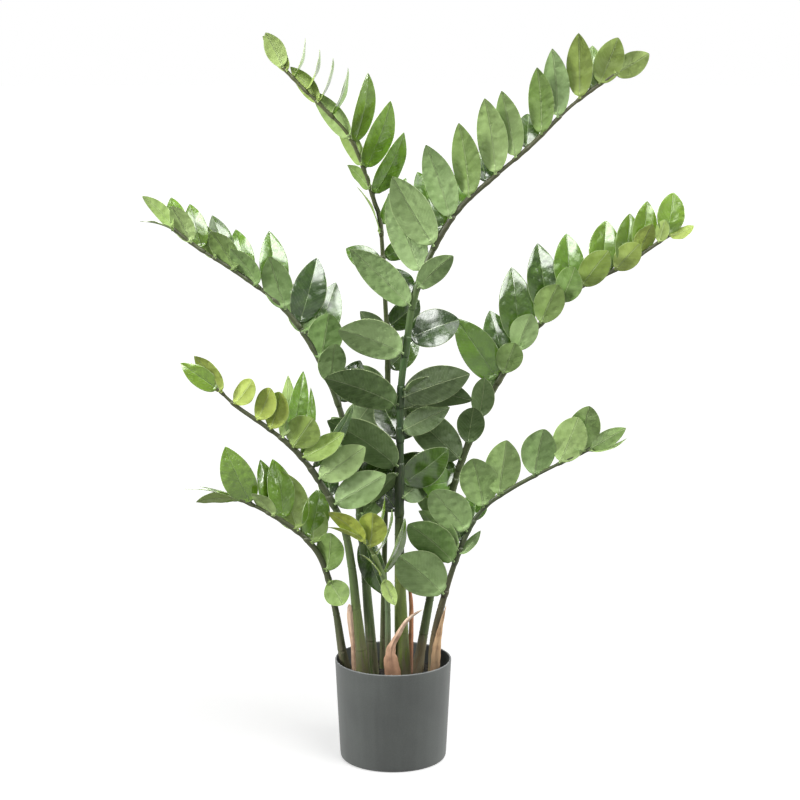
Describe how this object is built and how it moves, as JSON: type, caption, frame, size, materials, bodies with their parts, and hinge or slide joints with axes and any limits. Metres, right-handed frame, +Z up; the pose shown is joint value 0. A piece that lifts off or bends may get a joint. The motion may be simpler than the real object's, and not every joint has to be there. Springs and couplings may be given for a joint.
{
  "type": "potted zz plant",
  "caption": "Potted ZZ plant: arching stalks with paired, pointed oval leaflets and dry base sheaths, standing in a plain tapered round pot.",
  "frame": {"origin": "middle of the pot's flat underside", "axes": "+Z up, the plant's front faces -Y, +X to the right seen from the front"},
  "size_m": [0.7037, 0.1643, 0.9396],
  "materials": {
    "pot": "fine matt moulded plastic, anthracite",
    "fill": "dark crumbly potting fill",
    "stalk": "smooth satin green stalk, paler low down",
    "leaf": "satin to glossy leaf, darker and glossier above, paler below",
    "sheath": "dry fibrous papery sheath"
  },
  "bodies": {
    "root": {"fill": "fill", "leaves_a1": "leaf", "leaves_a2": "leaf", "leaves_a3": "leaf", "leaves_a4": "leaf", "leaves_a5": "leaf", "leaves_a6": "leaf", "leaves_a7": "leaf", "leaves_b1": "leaf", "leaves_b2": "leaf", "leaves_b3": "leaf", "leaves_b4": "leaf", "leaves_b5": "leaf", "leaves_b6": "leaf", "leaves_b7": "leaf", "leaves_b8": "leaf", "leaves_b9": "leaf", "leaves_c1": "leaf", "leaves_c2": "leaf", "leaves_c3": "leaf", "leaves_c4": "leaf", "leaves_c5": "leaf", "leaves_c6": "leaf", "leaves_c7": "leaf", "leaves_d1": "leaf", "leaves_d2": "leaf", "leaves_d3": "leaf", "leaves_d4": "leaf", "leaves_d5": "leaf", "leaves_e1": "leaf", "leaves_e2": "leaf", "leaves_e3": "leaf", "leaves_f1": "leaf", "leaves_f2": "leaf", "leaves_f3": "leaf", "leaves_f4": "leaf", "leaves_f5": "leaf", "leaves_f6": "leaf", "leaves_f7": "leaf", "leaves_g1": "leaf", "leaves_g2": "leaf", "leaves_g3": "leaf", "leaves_g4": "leaf", "leaves_g5": "leaf", "leaves_h1": "leaf", "leaves_h2": "leaf", "pot": "pot", "sheath_back": "sheath", "sheath_front": "sheath", "sheath_left": "sheath", "sheath_right": "sheath", "stalk_a": "stalk", "stalk_b": "stalk", "stalk_c": "stalk", "stalk_d": "stalk", "stalk_e": "stalk", "stalk_f": "stalk", "stalk_g": "stalk", "stalk_h": "stalk"}
  },
  "joints": []
}
